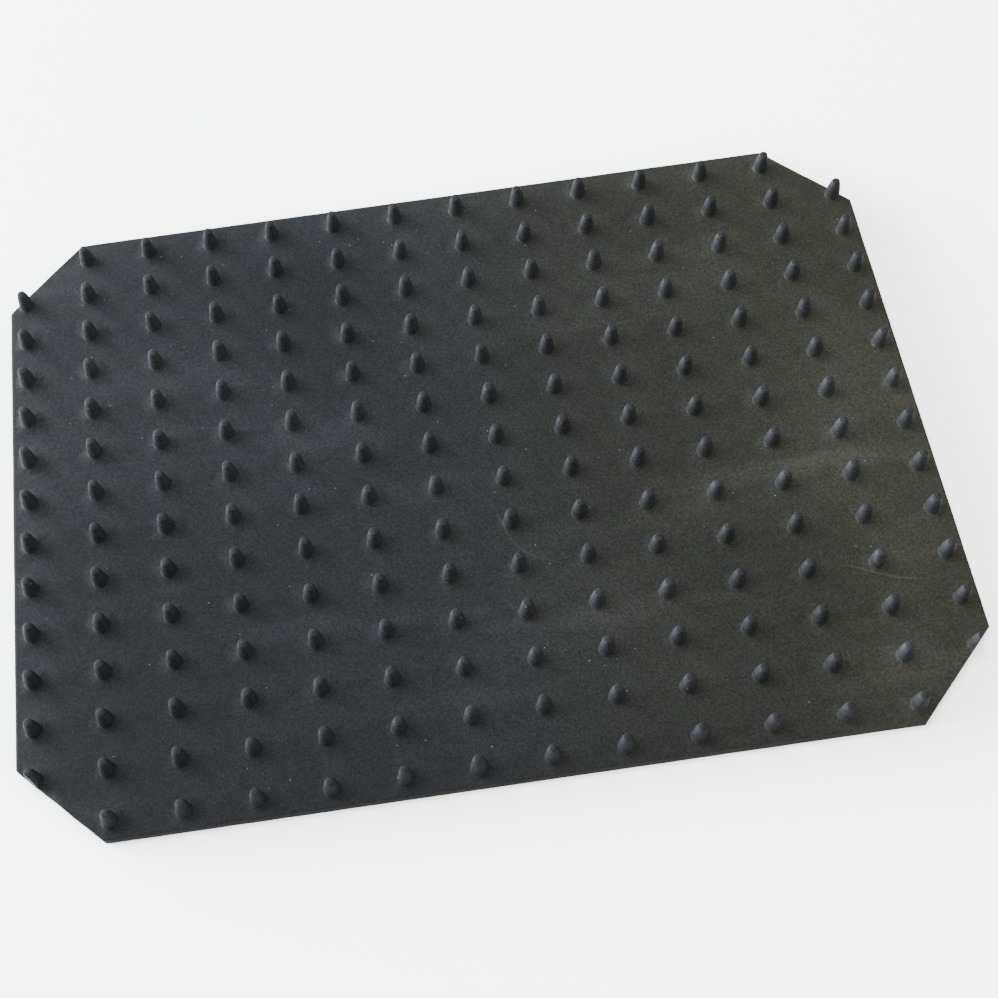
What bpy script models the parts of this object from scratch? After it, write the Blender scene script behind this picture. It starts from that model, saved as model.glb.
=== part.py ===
"""Seedling heat mat: a bonded rubber sandwich with a field of moulded pins.

Metres, +Z up.  The mat lies flat on Z = 0 with its middle at the origin, its long side along X
and its short side along Y.  The front edge is at -Y and the cord gland is in the rear edge at +Y.
Two rubber covers are bonded round a rim.  Between them lie, from the bottom, a felt, the heating
wire, a glass scrim and an earthed foil, with the leads and splices in a recess at the rear.
"""

import math

import bmesh
import bpy
from mathutils import Vector
from mathutils.geometry import delaunay_2d_cdt

# Clear gap between pieces that touch.
GAP = 0.0003

# Points closer than this are one point when a face is filled or cut.
MERGE_DISTANCE = 1e-7

# Faces that meet at a sharper angle than this, in degrees, keep a crisp edge.
CRISP_EDGE_ANGLE = 50

# Outline of the mat.
LENGTH = 0.3436
WIDTH = 0.2530
CORNER_CUT = 0.0304

# Moulded pins on the top face: a regular grid, a little nearer the front edge than the rear.  The
# corner cuts take away its four corner pins and slice the pins that they touch.
PIN_COLUMNS = 14
PIN_ROWS = 14
PIN_PITCH_X = 0.0254
PIN_PITCH_Y = 0.0183
PIN_FIELD_Y = -0.0010
PIN_BASE_RADIUS = 0.0029
PIN_TIP_RADIUS = 0.0013
PIN_HEIGHT = 0.0088
PIN_SIDES = 8

# Thickness of the two covers, the space between them and the rim that bonds them.
COVER_THICKNESS = 0.00075
CAVITY_HEIGHT = 0.0026
RIM_WIDTH = 0.0045

# Layers between the covers.  A rounding is the number of extra steps in a quarter of a round section.
FELT_THICKNESS = 0.0004
WIRE_DIAMETER = 0.0005
WIRE_ROUNDING = 1
SCRIM_THICKNESS = 0.0001
FOIL_THICKNESS = 0.0001
LAYER_CLEARANCE = 0.0008

# Heating wire: passes along Y, with a feeder along the rear edge to each end.
PASS_COUNT = 18
PASS_SPACING = 0.0175
PASS_FRONT_Y = -0.1100
PASS_REAR_Y = 0.0950
FEEDER_Y = 0.1110
TURN_RADIUS = 0.0085
TURN_STEPS = 5

# Recess in the layers at the rear edge, where the splices lie.
RECESS_HALF_LENGTH = 0.0420
RECESS_FRONT_Y = 0.1020
FOIL_TONGUE_HALF_WIDTH = 0.0030
FOIL_TONGUE_REAR_Y = 0.1052

# Cord gland in the rear rim, with a flat slot for the cord.
GLAND_WIDTH = 0.0160
GLAND_DEPTH = 0.0075
GLAND_SEAT_DEPTH = 0.0002
SLOT_WIDTH = 0.0072
SLOT_HEIGHT = 0.0016

# Inner leads, crimp sleeves and thermal limiter.
LEAD_DIAMETER = 0.0010
LEAD_ROUNDING = 2
LEAD_SPACING = 0.0024
LEAD_REAR_Y = 0.1215
LEAD_BEND_RADIUS = 0.0020
LIMITER_LENGTH = 0.0100
LIMITER_WIDTH = 0.0050
LIMITER_EDGE_RADIUS = 0.0004
LIMITER_EDGE_STEPS = 2
LIMITER_CENTRE_X = -0.0180
CRIMP_LENGTH = 0.0070
CRIMP_OUTER_RADIUS = 0.0010
CRIMP_BORE_RADIUS = 0.0008
CRIMP_OVERLAP = 0.0030
CRIMP_SIDES = 12
LIVE_CRIMP_X = -0.0310
NEUTRAL_CRIMP_X = 0.0150
EARTH_CRIMP_Y = 0.1090

# Heights worked out from the stack.
CAVITY_FLOOR = COVER_THICKNESS
CAVITY_CEILING = CAVITY_FLOOR + CAVITY_HEIGHT
MAT_TOP = CAVITY_CEILING + COVER_THICKNESS
CAVITY_MIDDLE = (CAVITY_FLOOR + CAVITY_CEILING) / 2
FELT_BOTTOM = CAVITY_FLOOR + GAP
SCRIM_BOTTOM = CAVITY_MIDDLE + WIRE_DIAMETER / 2 + GAP
FOIL_BOTTOM = CAVITY_CEILING - GAP - FOIL_THICKNESS

BLACK_RUBBER = ((0.052, 0.056, 0.060), 0.62, 0.0)
GREY_FELT = ((0.42, 0.41, 0.39), 0.95, 0.0)
GLASS_SCRIM = ((0.80, 0.79, 0.74), 0.70, 0.0)
ALUMINIUM_FOIL = ((0.80, 0.81, 0.82), 0.30, 1.0)
WIRE_SILICONE = ((0.55, 0.10, 0.07), 0.45, 0.0)
LIVE_BROWN = ((0.23, 0.11, 0.05), 0.45, 0.0)
NEUTRAL_BLUE = ((0.05, 0.16, 0.45), 0.45, 0.0)
EARTH_GREEN = ((0.20, 0.42, 0.08), 0.45, 0.0)
TINNED_BRASS = ((0.72, 0.62, 0.38), 0.35, 1.0)
LIMITER_CASE = ((0.70, 0.68, 0.62), 0.50, 0.0)


def clear_scene():
    """Remove every object, so that the script starts from nothing."""
    for item in list(bpy.data.objects):
        bpy.data.objects.remove(item, do_unlink=True)


def make_material(name, look):
    """Principled material from a (colour, roughness, metallic) look."""
    colour, roughness, metallic = look
    material = bpy.data.materials.new(name)
    material.use_nodes = True
    shader = material.node_tree.nodes["Principled BSDF"]
    shader.inputs["Base Color"].default_value = (*colour, 1.0)
    shader.inputs["Roughness"].default_value = roughness
    shader.inputs["Metallic"].default_value = metallic
    material.diffuse_color = (*colour, 1.0)
    return material


def link_object(name, data, look):
    """Put mesh or curve data into the scene as a named object with its own material."""
    item = bpy.data.objects.new(name, data)
    bpy.context.scene.collection.objects.link(item)
    data.materials.append(make_material(name + "_material", look))
    return item


def mesh_object(name, bm, look, smooth=False):
    """Turn a bmesh into a named object with outward faces."""
    bmesh.ops.recalc_face_normals(bm, faces=bm.faces)
    mesh = bpy.data.meshes.new(name)
    bm.to_mesh(mesh)
    bm.free()
    if smooth:
        mesh.shade_smooth()
        mesh.set_sharp_from_angle(angle=math.radians(CRISP_EDGE_ANGLE))
    return link_object(name, mesh, look)


def cut_corner_outline(inset=0.0):
    """Corners of the mat's outline moved inwards by a distance, anticlockwise from above."""
    half_x = LENGTH / 2 - inset
    half_y = WIDTH / 2 - inset
    cut = CORNER_CUT - inset * (2 - math.sqrt(2))
    return [
        (half_x, -half_y + cut),
        (half_x, half_y - cut),
        (half_x - cut, half_y),
        (-half_x + cut, half_y),
        (-half_x, half_y - cut),
        (-half_x, -half_y + cut),
        (-half_x + cut, -half_y),
        (half_x - cut, -half_y),
    ]


def recessed_outline(tongue=False):
    """Outline of an inner layer: inside the rim, less the splice recess at the rear.

    With a tongue, a narrow strip of the layer reaches back into the recess.
    """
    outline = cut_corner_outline(RIM_WIDTH + LAYER_CLEARANCE)
    rear_y = outline[2][1]
    recess = [(RECESS_HALF_LENGTH, rear_y), (RECESS_HALF_LENGTH, RECESS_FRONT_Y)]
    if tongue:
        recess.append((FOIL_TONGUE_HALF_WIDTH, RECESS_FRONT_Y))
        recess.append((FOIL_TONGUE_HALF_WIDTH, FOIL_TONGUE_REAR_Y))
    mirrored = [(-x, y) for x, y in reversed(recess)]
    return outline[:3] + recess + mirrored + outline[3:]


def add_loop(bm, outline, height):
    """Add a closed loop of vertices at one height and return them in order."""
    return [bm.verts.new((x, y, height)) for x, y in outline]


def bridge(bm, lower, upper):
    """Join two loops of equal length with a wall of quads."""
    count = len(lower)
    for index in range(count):
        following = (index + 1) % count
        bm.faces.new((lower[index], lower[following], upper[following], upper[index]))


def make_layer(name, outline, bottom, thickness, look):
    """Flat layer of one thickness with the given outline."""
    bm = bmesh.new()
    lower = add_loop(bm, outline, bottom)
    upper = add_loop(bm, outline, bottom + thickness)
    bm.faces.new(lower)
    bm.faces.new(upper)
    bridge(bm, lower, upper)
    return mesh_object(name, bm, look)


def pin_centres():
    """Centre of every pin, column by column, leaving out those on the cut corners."""
    centres = []
    for column in range(PIN_COLUMNS):
        for row in range(PIN_ROWS):
            if column in (0, PIN_COLUMNS - 1) and row in (0, PIN_ROWS - 1):
                continue
            x = (column - (PIN_COLUMNS - 1) / 2) * PIN_PITCH_X
            y = (row - (PIN_ROWS - 1) / 2) * PIN_PITCH_Y + PIN_FIELD_Y
            centres.append((x, y))
    return centres


def circle(centre, radius, sides):
    """Points round a circle, half a step off the axes so that flats face the neighbours."""
    points = []
    for index in range(sides):
        angle = 2 * math.pi * (index + 0.5) / sides
        points.append((centre[0] + radius * math.cos(angle), centre[1] + radius * math.sin(angle)))
    return points


def fill_between(bm, outline_verts, pin_bases):
    """Triangulate the flat top face from its outline to the foot of every pin."""
    verts = list(outline_verts)
    loops = [list(range(len(verts)))]
    for base in pin_bases:
        loops.append(list(range(len(verts), len(verts) + len(base))))
        verts.extend(base)
    points = [Vector((vert.co.x, vert.co.y)) for vert in verts]
    edges = []
    for loop in loops:
        edges.extend((loop[index - 1], loop[index]) for index in range(len(loop)))
    pin_of_point = {}
    for pin, loop in enumerate(loops[1:]):
        pin_of_point.update((index, pin) for index in loop)
    filled = delaunay_2d_cdt(points, edges, [], 1, MERGE_DISTANCE)
    for face in filled[2]:
        sources = [filled[3][index][0] for index in face]
        owners = {pin_of_point.get(source) for source in sources}
        if len(owners) == 1 and None not in owners:
            continue
        bm.faces.new([verts[source] for source in sources])


def cut_corners(bm):
    """Slice the four corners off with upright planes and close each cut."""
    reach = LENGTH / 2 + WIDTH / 2 - CORNER_CUT
    for side_x in (-1, 1):
        for side_y in (-1, 1):
            across = Vector((side_x, side_y, 0.0))
            geometry = bm.verts[:] + bm.edges[:] + bm.faces[:]
            cut = bmesh.ops.bisect_plane(
                bm,
                geom=geometry,
                dist=MERGE_DISTANCE,
                plane_co=across * reach / 2,
                plane_no=across,
                clear_outer=True,
            )
            rim = [item for item in cut["geom_cut"] if isinstance(item, bmesh.types.BMEdge)]
            bmesh.ops.contextual_create(bm, geom=rim)


def make_cover_top():
    """Upper rubber cover: a thin sheet with all its tapered pins moulded on."""
    half_x = LENGTH / 2
    half_y = WIDTH / 2
    corners = [(half_x, -half_y), (half_x, half_y), (-half_x, half_y), (-half_x, -half_y)]
    bm = bmesh.new()
    underside = add_loop(bm, corners, CAVITY_CEILING)
    top_edge = add_loop(bm, corners, MAT_TOP)
    bm.faces.new(underside)
    bridge(bm, underside, top_edge)
    bases = []
    for centre in pin_centres():
        base = add_loop(bm, circle(centre, PIN_BASE_RADIUS, PIN_SIDES), MAT_TOP)
        tip = add_loop(bm, circle(centre, PIN_TIP_RADIUS, PIN_SIDES), MAT_TOP + PIN_HEIGHT)
        bridge(bm, base, tip)
        bm.faces.new(tip)
        bases.append(base)
    fill_between(bm, top_edge, bases)
    cut_corners(bm)
    return mesh_object("cover_top", bm, BLACK_RUBBER, smooth=True)


def gland_cutter():
    """Helper block that opens the rear rim for the gland and sinks its seat."""
    bottom = CAVITY_FLOOR - GLAND_SEAT_DEPTH
    inner_y = WIDTH / 2 - RIM_WIDTH - GAP
    width = GLAND_WIDTH + 2 * GAP
    height = CAVITY_HEIGHT + 2 * GLAND_SEAT_DEPTH
    depth = 2 * RIM_WIDTH
    bm = bmesh.new()
    bmesh.ops.create_cube(bm, size=1.0)
    bmesh.ops.scale(bm, vec=(width, depth, height), verts=bm.verts)
    bmesh.ops.translate(bm, vec=(0, inner_y + depth / 2, bottom + height / 2), verts=bm.verts)
    cutter = mesh_object("gland_cutter", bm, BLACK_RUBBER)
    cutter.hide_render = True
    cutter.display_type = "WIRE"
    return cutter


def make_cover_bottom():
    """Lower rubber cover: a flat floor with the rim that the upper cover is bonded to."""
    rim_top = CAVITY_CEILING - GAP
    bm = bmesh.new()
    underside = add_loop(bm, cut_corner_outline(), 0.0)
    outer_top = add_loop(bm, cut_corner_outline(), rim_top)
    inner_top = add_loop(bm, cut_corner_outline(RIM_WIDTH), rim_top)
    floor = add_loop(bm, cut_corner_outline(RIM_WIDTH), CAVITY_FLOOR)
    bm.faces.new(underside)
    bridge(bm, underside, outer_top)
    bridge(bm, outer_top, inner_top)
    bridge(bm, inner_top, floor)
    bm.faces.new(floor)
    cover = mesh_object("cover_bottom", bm, BLACK_RUBBER)
    cut = cover.modifiers.new("gland_opening", "BOOLEAN")
    cut.operation = "DIFFERENCE"
    cut.solver = "EXACT"
    cut.object = gland_cutter()
    return cover


def make_gland():
    """Rubber gland in the rear rim: a block with a flat slot right through it along Y."""
    half_width = GLAND_WIDTH / 2
    half_slot = SLOT_WIDTH / 2
    bottom = CAVITY_FLOOR - GLAND_SEAT_DEPTH + GAP
    top = CAVITY_CEILING - GAP
    outer = [(-half_width, bottom), (half_width, bottom), (half_width, top), (-half_width, top)]
    slot_bottom = CAVITY_MIDDLE - SLOT_HEIGHT / 2
    slot_top = CAVITY_MIDDLE + SLOT_HEIGHT / 2
    slot = [
        (-half_slot, slot_bottom),
        (half_slot, slot_bottom),
        (half_slot, slot_top),
        (-half_slot, slot_top),
    ]
    rear_y = WIDTH / 2
    front_y = rear_y - GLAND_DEPTH
    bm = bmesh.new()
    rings = []
    for outline, y in ((outer, front_y), (outer, rear_y), (slot, rear_y), (slot, front_y)):
        rings.append([bm.verts.new((x, y, z)) for x, z in outline])
    for index, ring in enumerate(rings):
        bridge(bm, ring, rings[(index + 1) % len(rings)])
    return mesh_object("cord_gland", bm, BLACK_RUBBER)


def rounded_route(corners, radius):
    """Route through flat corner points with each inner corner turned on an arc."""
    points = [Vector(corners[0])]
    for before, corner, after in zip(corners, corners[1:], corners[2:]):
        corner = Vector(corner)
        into = (corner - Vector(before)).normalized()
        out = (Vector(after) - corner).normalized()
        centre = corner - into * radius + out * radius
        for step in range(TURN_STEPS + 1):
            angle = math.pi / 2 * step / TURN_STEPS
            points.append(centre - out * radius * math.cos(angle) + into * radius * math.sin(angle))
    points.append(Vector(corners[-1]))
    return points


def make_tube(name, points, diameter, rounding, look):
    """Round conductor along a route at the middle of the cavity, with closed ends."""
    curve = bpy.data.curves.new(name, "CURVE")
    curve.dimensions = "3D"
    curve.bevel_depth = diameter / 2
    curve.bevel_resolution = rounding
    curve.use_fill_caps = True
    spline = curve.splines.new("POLY")
    spline.points.add(len(points) - 1)
    for target, point in zip(spline.points, points):
        target.co = (point[0], point[1], CAVITY_MIDDLE, 1.0)
    spline.use_smooth = True
    return link_object(name, curve, look)


def make_heating_wire():
    """Resistance wire: rear feeder, parallel passes with turned ends, and the other feeder."""
    first_x = -PASS_SPACING * (PASS_COUNT - 1) / 2
    corners = [(LIVE_CRIMP_X - CRIMP_LENGTH / 2 + CRIMP_OVERLAP, FEEDER_Y), (first_x, FEEDER_Y)]
    for index in range(PASS_COUNT):
        x = first_x + index * PASS_SPACING
        if index % 2 == 0:
            corners.append((x, PASS_FRONT_Y))
            corners.append((x + PASS_SPACING, PASS_FRONT_Y))
        elif index < PASS_COUNT - 1:
            corners.append((x, PASS_REAR_Y))
            corners.append((x + PASS_SPACING, PASS_REAR_Y))
    corners.append((-first_x, FEEDER_Y))
    corners.append((NEUTRAL_CRIMP_X + CRIMP_LENGTH / 2 - CRIMP_OVERLAP, FEEDER_Y))
    route = rounded_route(corners, TURN_RADIUS)
    return make_tube("heating_wire", route, WIRE_DIAMETER, WIRE_ROUNDING, WIRE_SILICONE)


def make_crimp(name, centre, along):
    """Crimp sleeve: a short tube, open at both ends, lying along X or Y."""
    bm = bmesh.new()
    half = CRIMP_LENGTH / 2
    rings = []
    for radius, end in (
        (CRIMP_OUTER_RADIUS, -half),
        (CRIMP_OUTER_RADIUS, half),
        (CRIMP_BORE_RADIUS, half),
        (CRIMP_BORE_RADIUS, -half),
    ):
        ring = []
        for across, up in circle((0.0, CAVITY_MIDDLE), radius, CRIMP_SIDES):
            if along == "X":
                place = (centre[0] + end, centre[1] + across, up)
            else:
                place = (centre[0] + across, centre[1] + end, up)
            ring.append(bm.verts.new(place))
        rings.append(ring)
    for index, ring in enumerate(rings):
        bridge(bm, ring, rings[(index + 1) % len(rings)])
    return mesh_object(name, bm, TINNED_BRASS, smooth=True)


def make_limiter():
    """Thermal limiter: a flat sealed block in line with the live side of the heating wire."""
    half_length = LIMITER_LENGTH / 2
    half_width = LIMITER_WIDTH / 2
    outline = [
        (LIMITER_CENTRE_X - half_length, FEEDER_Y - half_width),
        (LIMITER_CENTRE_X + half_length, FEEDER_Y - half_width),
        (LIMITER_CENTRE_X + half_length, FEEDER_Y + half_width),
        (LIMITER_CENTRE_X - half_length, FEEDER_Y + half_width),
    ]
    height = CAVITY_HEIGHT - 2 * GAP
    limiter = make_layer("thermal_limiter", outline, CAVITY_FLOOR + GAP, height, LIMITER_CASE)
    edge = limiter.modifiers.new("edge", "BEVEL")
    edge.width = LIMITER_EDGE_RADIUS
    edge.segments = LIMITER_EDGE_STEPS
    return limiter


def make_leads():
    """Insulated leads from the gland to the limiter and crimps, and the limiter's own tail."""
    live_end = LIMITER_CENTRE_X + LIMITER_LENGTH / 2 + GAP
    neutral_end = NEUTRAL_CRIMP_X - CRIMP_LENGTH / 2 + CRIMP_OVERLAP
    live = [(-LEAD_SPACING, LEAD_REAR_Y), (-LEAD_SPACING, FEEDER_Y), (live_end, FEEDER_Y)]
    neutral = [(LEAD_SPACING, LEAD_REAR_Y), (LEAD_SPACING, FEEDER_Y), (neutral_end, FEEDER_Y)]
    earth = [(0.0, LEAD_REAR_Y), (0.0, EARTH_CRIMP_Y + CRIMP_LENGTH / 2 - CRIMP_OVERLAP)]
    tail_start = LIMITER_CENTRE_X - LIMITER_LENGTH / 2 - GAP
    tail = [(tail_start, FEEDER_Y), (LIVE_CRIMP_X + CRIMP_LENGTH / 2 - CRIMP_OVERLAP, FEEDER_Y)]
    live = rounded_route(live, LEAD_BEND_RADIUS)
    neutral = rounded_route(neutral, LEAD_BEND_RADIUS)
    make_tube("lead_live", live, LEAD_DIAMETER, LEAD_ROUNDING, LIVE_BROWN)
    make_tube("lead_neutral", neutral, LEAD_DIAMETER, LEAD_ROUNDING, NEUTRAL_BLUE)
    make_tube("lead_earth", earth, LEAD_DIAMETER, LEAD_ROUNDING, EARTH_GREEN)
    make_tube("limiter_tail", tail, LEAD_DIAMETER, LEAD_ROUNDING, WIRE_SILICONE)


def build():
    """Make every piece of the mat."""
    clear_scene()
    make_cover_bottom()
    make_gland()
    make_layer("insulation_felt", recessed_outline(), FELT_BOTTOM, FELT_THICKNESS, GREY_FELT)
    make_heating_wire()
    make_layer("glass_scrim", recessed_outline(), SCRIM_BOTTOM, SCRIM_THICKNESS, GLASS_SCRIM)
    foil_outline = recessed_outline(tongue=True)
    make_layer("earth_foil", foil_outline, FOIL_BOTTOM, FOIL_THICKNESS, ALUMINIUM_FOIL)
    make_limiter()
    make_crimp("crimp_live", (LIVE_CRIMP_X, FEEDER_Y), "X")
    make_crimp("crimp_neutral", (NEUTRAL_CRIMP_X, FEEDER_Y), "X")
    make_crimp("crimp_earth", (0.0, EARTH_CRIMP_Y), "Y")
    make_leads()
    make_cover_top()


build()
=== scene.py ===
"""Looks of the seedling heat mat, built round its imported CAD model.

The mat lies on a pale floor under soft light, mostly from the left.  Two rubber covers are remade
in fine mesh: the pinned upper one and the backing.  The gland and the inner layers stay as CAD nodes
with procedural materials.
"""

import math
import random

import bmesh
import bpy
from mathutils import Euler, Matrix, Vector, noise
from mathutils.geometry import delaunay_2d_cdt


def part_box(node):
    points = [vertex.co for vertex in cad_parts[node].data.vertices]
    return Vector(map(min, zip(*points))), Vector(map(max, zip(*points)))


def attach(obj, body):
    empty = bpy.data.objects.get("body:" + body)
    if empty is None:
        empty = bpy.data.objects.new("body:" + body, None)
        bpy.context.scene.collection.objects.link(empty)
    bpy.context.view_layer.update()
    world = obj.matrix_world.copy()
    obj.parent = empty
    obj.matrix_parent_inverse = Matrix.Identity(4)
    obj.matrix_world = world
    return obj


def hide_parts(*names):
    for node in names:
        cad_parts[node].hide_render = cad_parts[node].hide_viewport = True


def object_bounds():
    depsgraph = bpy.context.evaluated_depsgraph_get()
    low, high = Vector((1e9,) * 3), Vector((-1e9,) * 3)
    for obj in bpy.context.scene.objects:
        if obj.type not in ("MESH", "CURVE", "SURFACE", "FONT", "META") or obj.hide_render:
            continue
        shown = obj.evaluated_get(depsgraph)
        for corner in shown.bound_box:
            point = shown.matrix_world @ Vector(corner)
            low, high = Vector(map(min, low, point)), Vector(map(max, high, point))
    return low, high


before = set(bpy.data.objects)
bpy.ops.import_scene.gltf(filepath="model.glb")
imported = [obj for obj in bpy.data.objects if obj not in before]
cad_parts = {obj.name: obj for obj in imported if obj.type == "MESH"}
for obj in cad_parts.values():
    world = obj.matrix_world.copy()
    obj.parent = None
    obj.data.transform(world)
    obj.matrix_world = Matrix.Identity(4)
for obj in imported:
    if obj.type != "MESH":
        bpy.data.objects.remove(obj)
cad_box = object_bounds()

# Outline of the mat, from the frame.
TOP_LOW, TOP_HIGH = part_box("cover_top")
BASE_LOW, BASE_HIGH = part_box("cover_bottom")
GLAND_LOW, GLAND_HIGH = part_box("cord_gland")
HALF_LENGTH = TOP_HIGH[0]
HALF_WIDTH = TOP_HIGH[1]
CORNER_CUT = 0.0304
RIM_WIDTH = 0.0045
COVER_THICKNESS = 0.00075
MAT_TOP = TOP_LOW[2] + COVER_THICKNESS

# Moulded pins.
PIN_COLUMNS = 14
PIN_ROWS = 14
PIN_PITCH_X = 0.0254
PIN_PITCH_Y = 0.0183
PIN_FIELD_Y = -0.0010
PIN_HEIGHT = TOP_HIGH[2] - MAT_TOP
PIN_SIDES = 24
# Spread of the pins' lean (as a slope), height and girth (as shares) from one pin to the next.
PIN_LEAN = 0.018
PIN_STRETCH = 0.006
PIN_GIRTH = 0.02
# Radius and share of the height up the pin, from the fillet at its foot to its small flat tip.
PIN_PROFILE = (
    (0.00330, 0.000), (0.00306, 0.012), (0.00293, 0.040), (0.00288, 0.090), (0.00283, 0.200),
    (0.00273, 0.340), (0.00256, 0.500), (0.00233, 0.650), (0.00206, 0.790), (0.00182, 0.890),
    (0.00168, 0.945), (0.00160, 0.975), (0.00150, 0.994), (0.00138, 1.000),
)

# Fineness of the sheet: steps along its edge, and the spacing of the points spread over it.
EDGE_STEP = 0.0030
LATTICE_STEP = 0.0050
LATTICE_MARGIN = 0.35 * LATTICE_STEP

# Moulded unevenness of the sheet in slow and quick waves, in cycles per metre.
UNEVENNESS = 0.00012
SLOW_WAVES = 14
QUICK_WAVES = 55
QUICK_SHARE = 0.35

# How far the edge strays from its line where it was moulded and where it was cut.
EDGE_WANDER = 0.00008
CUT_WANDER = 0.00030
WANDER_WAVES = 120

# How far outside its true line each corner was cut, by the sides it lies on.
CORNER_SLACK = {(-1, 1): 0.0004, (1, 1): -0.0002, (1, -1): -0.0005, (-1, -1): 0.0005}

# Round the upper cover from its seam up: how far in from the edge, and how high.
SEAM = TOP_LOW[2] - 0.00015
COVER_EDGE = (
    (0.00020, SEAM), (0.00005, SEAM + 0.0001), (0.0, SEAM + 0.0003), (0.00002, MAT_TOP - 0.00035),
    (0.00012, MAT_TOP - 0.00012), (0.00035, MAT_TOP - 0.00002), (0.00120, MAT_TOP),
)

# Round the lower cover from its underside up to its own seam and down into the cavity.
BASE_SEAM = BASE_HIGH[2] + 0.00010
BASE_EDGE = (
    (0.00070, BASE_LOW[2]), (0.00022, BASE_LOW[2] + 0.00010), (0.00003, BASE_LOW[2] + 0.00045),
    (0.0, BASE_LOW[2] + 0.0009), (0.0, BASE_SEAM - 0.0004), (0.00006, BASE_SEAM - 0.0001),
    (0.00022, BASE_SEAM), (RIM_WIDTH, BASE_SEAM), (RIM_WIDTH, COVER_THICKNESS),
)

# Clear space round the gland, and how far its opening is cut past the rim on the inside and outside.
GLAND_CLEARANCE = 0.0002
OPENING_INNER = 0.0004
OPENING_OUTER = 0.002

# Faces that meet at a sharper angle than this, in degrees, keep a crisp edge.
CRISP_EDGE_ANGLE = 60

# A point this near a cut lies on it.
CUT_TOLERANCE = 1e-5

# Points closer than this are one point when a face is filled or cut.
MERGE_DISTANCE = 1e-7

# Camera, looking down at the front of the mat.
CAMERA_PLACE = (-0.02677, -0.30025, 0.53372)
CAMERA_TURN = (28.277, 2.891, -7.618)
CAMERA_LENS = 58.29
CAMERA_SHIFT = 0.0684
SENSOR = 36.0

# Lights: name, place, width and height, power in watts and colour.
LIGHTS = (
    ("key", (-3.10, 1.20, 0.46), (4.4, 0.7), 2900.0, (0.90, 0.96, 1.0)),
    ("fill", (2.60, -1.40, 1.30), (4.0, 1.6), 200.0, (1.0, 0.96, 0.84)),
    ("overhead", (-0.35, 0.35, 1.70), (0.9, 0.9), 40.0, (1.0, 1.0, 1.0)),
)
SURROUND_COLOUR = (0.98, 0.99, 1.0)
SURROUND_STRENGTH = 2.6

# Floor: half its width, and how far it lies under the mat.
FLOOR_REACH = 6.0
FLOOR_DROP = 0.0001

# Rubber: a cool and a warm tint and a roughness for each piece.
PINNED_RUBBER = ((0.0062, 0.0064, 0.0075), (0.0100, 0.0099, 0.0080), 0.62)
BACKING_RUBBER = ((0.0062, 0.0067, 0.0071), (0.0070, 0.0073, 0.0062), 0.68)
GLAND_RUBBER = ((0.0085, 0.0090, 0.0098), (0.0085, 0.0090, 0.0090), 0.55)

RANDOM_SEED = 11


# --- camera, floor and lights ------------------------------------------------------------------


def make_camera():
    """Camera at the viewing angle, sharp throughout."""
    data = bpy.data.cameras.new("camera")
    data.lens = CAMERA_LENS
    data.sensor_width = SENSOR
    data.shift_x = CAMERA_SHIFT
    data.clip_start = 0.01
    camera = bpy.data.objects.new("camera", data)
    camera.location = CAMERA_PLACE
    camera.rotation_euler = Euler([math.radians(angle) for angle in CAMERA_TURN], "XYZ")
    bpy.context.scene.collection.objects.link(camera)
    bpy.context.scene.camera = camera


def make_floor():
    """Large pale floor with a faint mottle."""
    bm = bmesh.new()
    bmesh.ops.create_grid(bm, x_segments=2, y_segments=2, size=FLOOR_REACH)
    mesh = bpy.data.meshes.new("floor")
    bm.to_mesh(mesh)
    bm.free()
    floor = bpy.data.objects.new("floor", mesh)
    floor.location.z = cad_box[0][2] - FLOOR_DROP
    bpy.context.scene.collection.objects.link(floor)
    look = Look("floor_paper", roughness=0.9, specular=0.1)
    mottle = look.noise(scale=3.0, detail=2.0)
    look.colour(look.ramp(mottle, (0.3, (0.93, 0.93, 0.93)), (0.7, (0.95, 0.95, 0.95))))
    mesh.materials.append(look.material)


def make_area_light(name, place, size, power, colour):
    """Soft rectangular light turned to the middle of the mat; size is its width and height."""
    data = bpy.data.lights.new(name, "AREA")
    data.shape = "RECTANGLE"
    data.size, data.size_y = size
    data.energy = power
    data.color = colour
    light = bpy.data.objects.new(name, data)
    light.location = place
    aim = -Vector(place)
    light.rotation_euler = aim.to_track_quat("-Z", "Y").to_euler()
    bpy.context.scene.collection.objects.link(light)


def make_lights():
    """Low key from the left, which catches the pins' flanks, a warm fill, an overhead and a surround."""
    for light in LIGHTS:
        make_area_light(*light)
    world = bpy.data.worlds.new("surround")
    world.use_nodes = True
    background = world.node_tree.nodes["Background"]
    background.inputs["Color"].default_value = (*SURROUND_COLOUR, 1.0)
    background.inputs["Strength"].default_value = SURROUND_STRENGTH
    bpy.context.scene.world = world


# --- materials ---------------------------------------------------------------------------------


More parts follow.
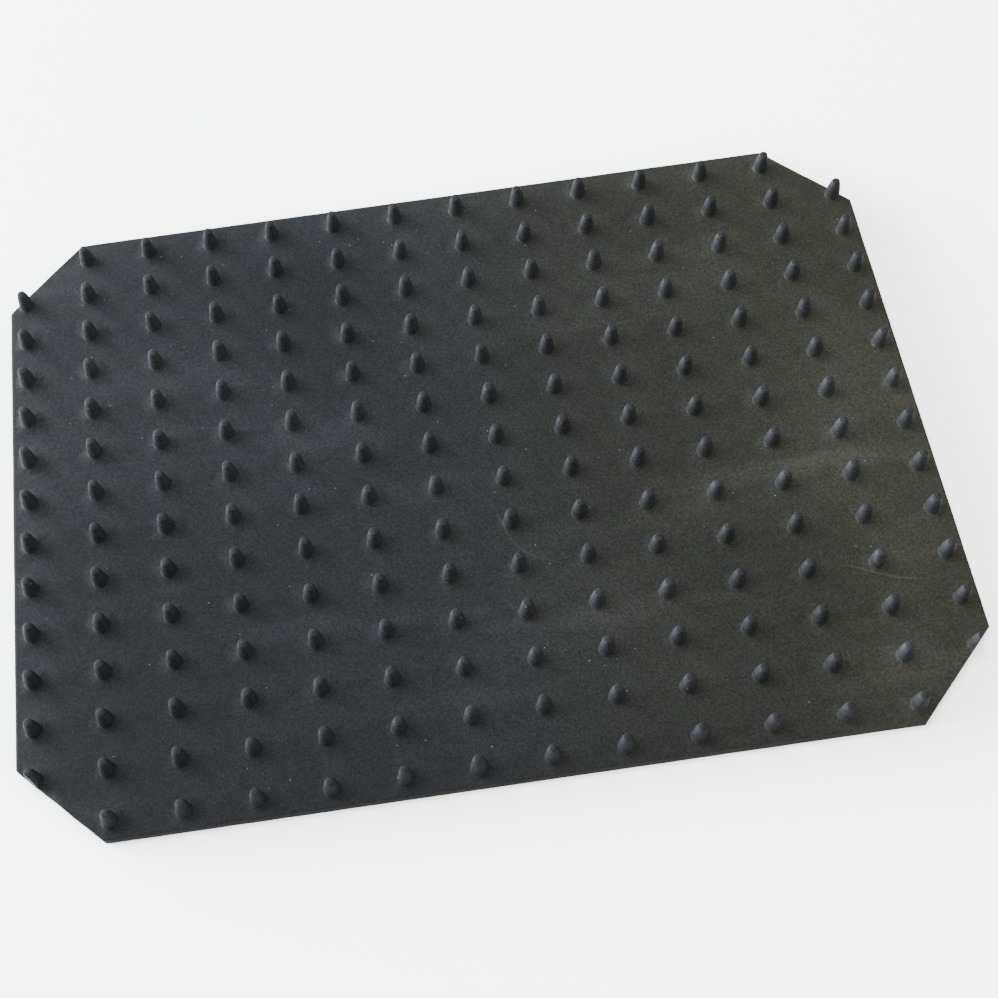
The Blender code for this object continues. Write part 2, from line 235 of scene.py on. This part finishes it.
class Look:
    """A Principled material with short helpers for its procedural nodes."""

    def __init__(self, name, roughness, specular=0.5, metallic=0.0):
        self.material = bpy.data.materials.new(name)
        self.material.use_nodes = True
        self.tree = self.material.node_tree
        self.shader = self.tree.nodes["Principled BSDF"]
        self.shader.inputs["Roughness"].default_value = roughness
        self.shader.inputs["Specular IOR Level"].default_value = specular
        self.shader.inputs["Metallic"].default_value = metallic
        self.place = self.tree.nodes.new("ShaderNodeTexCoord").outputs["Object"]
        self.relief = None

    def node(self, kind, inputs=None, **settings):
        """New node with settings and with values or links on its inputs."""
        made = self.tree.nodes.new(kind)
        for key, value in settings.items():
            setattr(made, key, value)
        for key, value in (inputs or {}).items():
            if isinstance(value, bpy.types.NodeSocket):
                self.tree.links.new(value, made.inputs[key])
            else:
                made.inputs[key].default_value = value
        return made

    def stretched(self, scale, turn):
        """Object coordinates scaled unevenly, after a turn about Z."""
        mapping = self.node("ShaderNodeMapping", {"Vector": self.place, "Scale": scale})
        mapping.inputs["Rotation"].default_value = (0.0, 0.0, turn)
        return mapping.outputs["Vector"]

    def noise(self, scale, detail=4.0, roughness=0.5, place=None, distortion=0.0):
        """Fractal noise in metres: scale is in cycles per metre."""
        inputs = {"Vector": place or self.place, "Scale": scale, "Detail": detail}
        inputs["Roughness"] = roughness
        inputs["Distortion"] = distortion
        return self.node("ShaderNodeTexNoise", inputs).outputs["Fac"]

    def cells(self, scale, feature="F1"):
        """Distance to scattered cell centres or to the edges between cells."""
        inputs = {"Vector": self.place, "Scale": scale}
        return self.node("ShaderNodeTexVoronoi", inputs, feature=feature).outputs["Distance"]

    def ramp(self, factor, *stops):
        """Colour ramp through (position, colour) stops."""
        made = self.node("ShaderNodeValToRGB", {"Fac": factor})
        elements = made.color_ramp.elements
        while len(elements) < len(stops):
            elements.new(0.5)
        for element, (position, colour) in zip(elements, stops):
            element.position = position
            element.color = (*colour, 1.0)
        return made.outputs["Color"]

    def fade(self, factor, low, high, to_low=0.0, to_high=1.0):
        """Factor stretched from one range to another and clamped."""
        inputs = {"Value": factor, "From Min": low, "From Max": high}
        inputs["To Min"] = to_low
        inputs["To Max"] = to_high
        return self.node("ShaderNodeMapRange", inputs).outputs["Result"]

    def math(self, operation, first, second=0.0):
        """Arithmetic on two factors."""
        return self.node("ShaderNodeMath", {0: first, 1: second}, operation=operation).outputs[0]

    def mix(self, factor, first, second, blend="MIX"):
        """Blend of two colours."""
        made = self.tree.nodes.new("ShaderNodeMix")
        made.data_type = "RGBA"
        made.blend_type = blend
        for key, value in ((0, factor), (6, first), (7, second)):
            if isinstance(value, bpy.types.NodeSocket):
                self.tree.links.new(value, made.inputs[key])
            else:
                made.inputs[key].default_value = value if key == 0 else (*value, 1.0)
        return made.outputs[2]

    def colour(self, socket):
        """Use a colour as the base colour."""
        self.tree.links.new(socket, self.shader.inputs["Base Color"])

    def roughness(self, socket):
        """Use a factor as the roughness."""
        self.tree.links.new(socket, self.shader.inputs["Roughness"])

    def bump(self, height, distance, strength=1.0):
        """Add relief of a real height in metres on top of any relief so far."""
        inputs = {"Height": height, "Distance": distance, "Strength": strength}
        if self.relief:
            inputs["Normal"] = self.relief
        self.relief = self.node("ShaderNodeBump", inputs).outputs["Normal"]
        self.tree.links.new(self.relief, self.shader.inputs["Normal"])


# Factors by which patches of the rubber are paler, darker or greener than the rest; the paler one also
# paints sheen, and the darker one paints shade towards the front.
PALER = (1.75, 1.75, 1.75)
DARKER = (0.45, 0.45, 0.45)
GREENER = (0.80, 1.12, 0.92)


def rubber_look(name, cool, warm, roughness):
    """Dull moulded rubber: painted sheen in pale patches and wiped streaks, painted shade towards the
    front, mottled grain, fine scratches and specks of dust.

    The warm tint grows on the sheet towards one end and does not reach the pins.
    """
    look = Look(name, roughness=roughness, specular=0.03)
    place = look.node("ShaderNodeSeparateXYZ", {"Vector": look.place})
    warm_share = look.fade(place.outputs["X"], -0.04, 0.15)
    on_sheet = look.fade(place.outputs["Z"], MAT_TOP + 0.0006, MAT_TOP + 0.0030, 1.0, 0.1)
    base = look.mix(look.math("MULTIPLY", warm_share, on_sheet), cool, warm)
    # Painted shade: the sheet is darkened more and more towards its front edge.
    front = look.fade(place.outputs["Y"], 0.02, -0.12, 0.0, 0.28)
    shaded = look.mix(front, base, DARKER, "MULTIPLY")
    # Painted sheen: broad pale patches that stand for soft highlights on the rubber; the same patches
    # also vary its roughness.
    painted_sheen = look.noise(scale=11.0, detail=3.0, distortion=0.8)
    shaded = look.mix(look.fade(painted_sheen, 0.42, 0.74, 0.0, 0.50), shaded, PALER, "MULTIPLY")
    # Long wiped streaks, made paler as painted sheen.
    wipe_and_sheen_streaks = look.noise(scale=16.0, detail=5.0, place=look.stretched((0.5, 3.0, 1.0), 0.6))
    shaded = look.mix(look.fade(wipe_and_sheen_streaks, 0.56, 0.74, 0.0, 0.50), shaded, PALER, "MULTIPLY")
    blotch = look.noise(scale=330.0, detail=3.0, roughness=0.6)
    shaded = look.mix(look.fade(blotch, 0.42, 0.62, 0.0, 0.30), shaded, GREENER, "MULTIPLY")
    grain = look.noise(scale=1150.0, detail=4.0, roughness=0.7)
    shaded = look.mix(look.fade(grain, 0.50, 0.30, 0.0, 0.8), shaded, DARKER, "MULTIPLY")
    shaded = look.mix(look.fade(grain, 0.50, 0.70, 0.0, 0.8), shaded, PALER, "MULTIPLY")
    dust = look.math("MULTIPLY", dust_specks(look), 0.6)
    marks = look.math("MAXIMUM", dust, look.math("MULTIPLY", fine_scratches(look), 0.05))
    look.colour(look.mix(marks, shaded, (0.17, 0.16, 0.14)))
    look.roughness(look.fade(painted_sheen, 0.2, 0.8, roughness - 0.06, roughness + 0.08))
    look.bump(look.noise(scale=90.0, detail=3.0), 0.00008)
    look.bump(grain, 0.00003, 0.6)
    return look.material


def dust_specks(look):
    """Factor of scattered specks, with most of the surface left clean."""
    specks = look.fade(look.cells(scale=240.0), 0.0, 0.075, 1.0, 0.0)
    patches = look.fade(look.noise(scale=60.0, detail=1.0), 0.55, 0.60)
    return look.math("MULTIPLY", specks, patches)


def fine_scratches(look):
    """Factor of a few hair-thin curved scratches."""
    lines = look.noise(scale=5.0, detail=1.0, place=look.stretched((0.7, 2.4, 1.0), 0.9), distortion=0.3)
    thin = look.fade(look.math("ABSOLUTE", look.math("SUBTRACT", lines, 0.5)), 0.0, 0.0011, 1.0, 0.0)
    broken = look.fade(look.noise(scale=9.0, detail=2.0), 0.58, 0.66)
    return look.math("MULTIPLY", thin, broken)


# --- upper cover -------------------------------------------------------------------------------


def cut_reach(side_x, side_y):
    """Sum of |x| and |y| along the cut at one corner, with the corner's own slack."""
    return HALF_LENGTH + HALF_WIDTH - CORNER_CUT + CORNER_SLACK[side_x, side_y] * math.sqrt(2)


def outline_corners(has_cuts):
    """Corners of the outline anticlockwise from above, with or without the four corner cuts."""
    corners = []
    for side_x, side_y in ((1, -1), (1, 1), (-1, 1), (-1, -1)):
        if not has_cuts:
            corners.append((side_x * HALF_LENGTH, side_y * HALF_WIDTH))
            continue
        reach = cut_reach(side_x, side_y)
        on_end = (side_x * HALF_LENGTH, side_y * (reach - HALF_LENGTH))
        on_side = (side_x * (reach - HALF_WIDTH), side_y * HALF_WIDTH)
        corners.extend((on_end, on_side) if side_x == side_y else (on_side, on_end))
    return corners


def edge_path(has_cuts):
    """Closely spaced points round an outline, each with its outward direction."""
    corners = [Vector(corner) for corner in outline_corners(has_cuts)]
    path = []
    for index, start in enumerate(corners):
        along = corners[(index + 1) % len(corners)] - start
        outward = Vector((along.y, -along.x)).normalized()
        before = start - corners[index - 1]
        bisector = Vector((before.y, -before.x)).normalized() + outward
        path.append((start, bisector / bisector.dot(outward)))
        count = max(2, round(along.length / EDGE_STEP))
        for step in range(1, count):
            path.append((start + along * step / count, outward))
    return [(place + outward * wander(place), outward) for place, outward in path]


def wander(place):
    """How far the edge strays from its line: a knife wanders more in a cut than a mould edge."""
    slack = CUT_WANDER if on_cut(place) else EDGE_WANDER
    return slack * noise.noise(Vector((place.x * WANDER_WAVES, place.y * WANDER_WAVES, 0.5)))


def on_cut(place):
    """True for a place on one of the four corner cuts."""
    reach = cut_reach(math.copysign(1, place.x), math.copysign(1, place.y))
    return abs(place.x) + abs(place.y) > reach - CUT_TOLERANCE


def ring_at(bm, path, inset, height):
    """Loop of vertices round the edge, moved in by an inset."""
    loop = []
    for place, outward in path:
        spot = place - outward * inset
        loop.append(bm.verts.new((spot.x, spot.y, height)))
    return loop


def bridge(bm, lower, upper):
    """Join two loops of equal length with a wall of quads."""
    for index in range(len(lower)):
        bm.faces.new((lower[index - 1], lower[index], upper[index], upper[index - 1]))


def pin_centres():
    """Centre of every pin, leaving out those on the cut corners."""
    centres = []
    for column in range(PIN_COLUMNS):
        for row in range(PIN_ROWS):
            if column in (0, PIN_COLUMNS - 1) and row in (0, PIN_ROWS - 1):
                continue
            x = (column - (PIN_COLUMNS - 1) / 2) * PIN_PITCH_X
            y = (row - (PIN_ROWS - 1) / 2) * PIN_PITCH_Y + PIN_FIELD_Y
            centres.append(Vector((x, y)))
    return centres


def sheet_height(x, y):
    """Height of the moulded top face, which is slightly uneven."""
    slow = noise.noise(Vector((x * SLOW_WAVES, y * SLOW_WAVES, 3.1)))
    quick = noise.noise(Vector((x * QUICK_WAVES, y * QUICK_WAVES, 7.7)))
    return MAT_TOP + UNEVENNESS * (slow + QUICK_SHARE * quick)


def add_pin(bm, centre, dice):
    """One moulded pin with a filleted foot; returns its lowest loop."""
    lean = Vector((dice.gauss(0, PIN_LEAN), dice.gauss(0, PIN_LEAN)))
    stretch = 1 + dice.gauss(0, PIN_STRETCH)
    girth = 1 + dice.gauss(0, PIN_GIRTH)
    twist = dice.uniform(0, 1)
    loops = []
    for radius, share in PIN_PROFILE:
        loop = []
        rise = share * PIN_HEIGHT * stretch
        shift = lean * rise * share
        for side in range(PIN_SIDES):
            angle = 2 * math.pi * (side + twist) / PIN_SIDES
            reach = radius * girth
            x = centre.x + shift.x + reach * math.cos(angle)
            y = centre.y + shift.y + reach * math.sin(angle)
            base = sheet_height(x, y) if share == 0 else MAT_TOP
            loop.append(bm.verts.new((x, y, base + rise)))
        if loops:
            bridge(bm, loops[-1], loop)
        loops.append(loop)
    top = centre + lean * PIN_HEIGHT
    peak = bm.verts.new((top.x, top.y, MAT_TOP + PIN_HEIGHT * stretch))
    last = loops[-1]
    for side in range(PIN_SIDES):
        bm.faces.new((last[side - 1], last[side], peak))
    return loops[0]


def lattice_points(centres):
    """Points spread over the sheet between the pins, clear of their feet and of the edge."""
    columns = int(HALF_LENGTH / LATTICE_STEP - 1)
    rows = int(HALF_WIDTH / LATTICE_STEP - 1)
    clearance = PIN_PROFILE[0][0] + LATTICE_MARGIN
    points = []
    for column in range(-columns, columns + 1):
        for row in range(-rows, rows + 1):
            spot = Vector(((column + 0.5 * (row % 2)) * LATTICE_STEP, row * LATTICE_STEP))
            if min((spot - centre).length for centre in centres) > clearance:
                points.append(spot)
    return points


def fill_sheet(bm, rim, feet, centres):
    """Triangulate the top face between its rim and the foot of every pin."""
    verts = list(rim)
    loops = [range(len(rim))]
    owner = {}
    for pin, foot in enumerate(feet):
        start = len(verts)
        verts.extend(foot)
        loops.append(range(start, len(verts)))
        owner.update((index, pin) for index in range(start, len(verts)))
    for spot in lattice_points(centres):
        verts.append(bm.verts.new((spot.x, spot.y, sheet_height(spot.x, spot.y))))
    edges = []
    for loop in loops:
        edges.extend((loop[index - 1], loop[index]) for index in range(len(loop)))
    filled = delaunay_2d_cdt([vert.co.xy for vert in verts], edges, [], 1, MERGE_DISTANCE)
    for face in filled[2]:
        sources = [filled[3][index][0] for index in face]
        owners = {owner.get(source) for source in sources}
        if len(owners) == 1 and None not in owners:
            continue
        bm.faces.new([verts[source] for source in sources])


def slice_corners(bm):
    """Cut the four corners off, close each cut and let it stray like a knife's."""
    for side_x in (-1, 1):
        for side_y in (-1, 1):
            across = Vector((side_x, side_y, 0.0))
            geometry = bm.verts[:] + bm.edges[:] + bm.faces[:]
            cut = bmesh.ops.bisect_plane(
                bm,
                geom=geometry,
                dist=MERGE_DISTANCE,
                plane_co=across * cut_reach(side_x, side_y) / 2,
                plane_no=across,
                clear_outer=True,
            )
            edges = [item for item in cut["geom_cut"] if isinstance(item, bmesh.types.BMEdge)]
            made = bmesh.ops.contextual_create(bm, geom=edges)
            bmesh.ops.triangulate(bm, faces=made["faces"])
            for vert in {vert for edge in edges for vert in edge.verts}:
                vert.co += across.normalized() * wander(vert.co)


def finish_piece(name, bm, material, nodes):
    """Turn a bmesh into a smooth piece that rides on the mat and stands for CAD nodes."""
    bmesh.ops.recalc_face_normals(bm, faces=bm.faces)
    mesh = bpy.data.meshes.new(name)
    bm.to_mesh(mesh)
    bm.free()
    mesh.shade_smooth()
    mesh.set_sharp_from_angle(angle=math.radians(CRISP_EDGE_ANGLE))
    mesh.materials.append(material)
    piece = bpy.data.objects.new(name, mesh)
    bpy.context.scene.collection.objects.link(piece)
    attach(piece, "root")
    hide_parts(*nodes)
    return piece


def make_pinned_cover():
    """Upper cover: the pinned sheet with a soft edge, down to the seam."""
    dice = random.Random(RANDOM_SEED)
    path = edge_path(has_cuts=False)
    bm = bmesh.new()
    loops = [ring_at(bm, path, inset, height) for inset, height in COVER_EDGE]
    bm.faces.new(loops[0])
    for below, above in zip(loops, loops[1:]):
        bridge(bm, below, above)
    centres = pin_centres()
    feet = [add_pin(bm, centre, dice) for centre in centres]
    fill_sheet(bm, loops[-1], feet, centres)
    slice_corners(bm)
    material = rubber_look("pinned_rubber", *PINNED_RUBBER)
    return finish_piece("pinned_cover", bm, material, ["cover_top"])


# --- backing -----------------------------------------------------------------------------------


def make_backing():
    """Lower cover: a floor and rim with soft edges and an opening for the gland."""
    path = edge_path(has_cuts=True)
    bm = bmesh.new()
    loops = [ring_at(bm, path, inset, height) for inset, height in BASE_EDGE]
    bm.faces.new(loops[0])
    bm.faces.new(loops[-1])
    for below, above in zip(loops, loops[1:]):
        bridge(bm, below, above)
    material = rubber_look("backing_rubber", *BACKING_RUBBER)
    backing = finish_piece("backing", bm, material, ["cover_bottom"])
    cut_gland_opening(backing)


def cut_gland_opening(backing):
    """Open the rear rim round the gland and leave no helper behind."""
    clear = GLAND_CLEARANCE
    inner_y = BASE_HIGH[1] - RIM_WIDTH - OPENING_INNER
    bm = bmesh.new()
    bmesh.ops.create_cube(bm, size=1.0)
    low = Vector((GLAND_LOW[0] - clear, inner_y, GLAND_LOW[2] - clear))
    high = Vector((GLAND_HIGH[0] + clear, BASE_HIGH[1] + OPENING_OUTER, BASE_HIGH[2] + OPENING_OUTER))
    bmesh.ops.scale(bm, vec=high - low, verts=bm.verts)
    bmesh.ops.translate(bm, vec=(low + high) / 2, verts=bm.verts)
    mesh = bpy.data.meshes.new("opening")
    bm.to_mesh(mesh)
    bm.free()
    cutter = bpy.data.objects.new("opening", mesh)
    bpy.context.scene.collection.objects.link(cutter)
    cut = backing.modifiers.new("opening", "BOOLEAN")
    cut.operation = "DIFFERENCE"
    cut.object = cutter
    graph = bpy.context.evaluated_depsgraph_get()
    shaped = bpy.data.meshes.new_from_object(backing.evaluated_get(graph))
    backing.modifiers.clear()
    backing.data = shaped
    bpy.data.objects.remove(cutter, do_unlink=True)


# --- gland and inner layers --------------------------------------------------------------------


def felt_look():
    """Needled grey felt."""
    look = Look("felt_fibres", roughness=0.95, specular=0.1)
    fibres = look.noise(scale=900.0, detail=6.0, place=look.stretched((1.0, 0.25, 1.0), 0.4))
    look.colour(look.ramp(fibres, (0.3, (0.28, 0.27, 0.26)), (0.7, (0.50, 0.49, 0.46))))
    look.bump(fibres, 0.0002)
    return look.material


def scrim_look():
    """Open plain-woven glass scrim."""
    look = Look("scrim_weave", roughness=0.6, specular=0.4)
    inputs = {"Vector": look.place, "Scale": 160.0}
    warp = look.node("ShaderNodeTexWave", inputs, bands_direction="X").outputs["Fac"]
    weft = look.node("ShaderNodeTexWave", inputs, bands_direction="Y").outputs["Fac"]
    weave = look.math("MAXIMUM", warp, weft)
    look.colour(look.ramp(weave, (0.2, (0.45, 0.44, 0.40)), (0.8, (0.82, 0.81, 0.77))))
    look.bump(weave, 0.0001)
    return look.material


def foil_look():
    """Crinkled aluminium foil."""
    look = Look("foil_crinkle", roughness=0.3, metallic=1.0)
    creases = look.cells(scale=120.0, feature="DISTANCE_TO_EDGE")
    look.colour(look.ramp(creases, (0.0, (0.62, 0.63, 0.64)), (0.2, (0.82, 0.83, 0.84))))
    look.bump(look.fade(creases, 0.0, 0.2), 0.00005)
    return look.material


def sleeve_look(name, colour):
    """Satin insulation with slight drawn streaks."""
    look = Look(name, roughness=0.42)
    streaks = look.noise(scale=800.0, detail=3.0)
    deep = [value * 0.7 for value in colour]
    look.colour(look.ramp(streaks, (0.3, deep), (0.7, colour)))
    look.bump(streaks, 0.00002)
    return look.material


def brass_look():
    """Tinned brass with rolling marks."""
    look = Look("tinned_brass", roughness=0.32, metallic=1.0)
    marks = look.noise(scale=2500.0, detail=3.0)
    look.colour(look.ramp(marks, (0.3, (0.60, 0.52, 0.32)), (0.7, (0.78, 0.70, 0.46))))
    look.bump(marks, 0.00001)
    return look.material


def dress_node(name, material):
    """Give a CAD node that stays in view a procedural material."""
    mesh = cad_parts[name].data
    mesh.materials.clear()
    mesh.materials.append(material)


def dress_inner_pieces():
    """Materials for the gland and for everything between the covers."""
    rubber = rubber_look("gland_rubber", *GLAND_RUBBER)
    dress_node("cord_gland", rubber)
    dress_node("insulation_felt", felt_look())
    dress_node("glass_scrim", scrim_look())
    dress_node("earth_foil", foil_look())
    dress_node("heating_wire", sleeve_look("wire_silicone", (0.50, 0.09, 0.06)))
    dress_node("limiter_tail", sleeve_look("tail_silicone", (0.50, 0.09, 0.06)))
    dress_node("lead_live", sleeve_look("live_brown", (0.20, 0.09, 0.04)))
    dress_node("lead_neutral", sleeve_look("neutral_blue", (0.04, 0.14, 0.40)))
    dress_node("lead_earth", sleeve_look("earth_green", (0.16, 0.36, 0.06)))
    dress_node("thermal_limiter", sleeve_look("limiter_case", (0.66, 0.64, 0.58)))
    for name in ("crimp_live", "crimp_neutral", "crimp_earth"):
        dress_node(name, brass_look())


make_camera()
make_floor()
make_lights()
make_pinned_cover()
make_backing()
dress_inner_pieces()
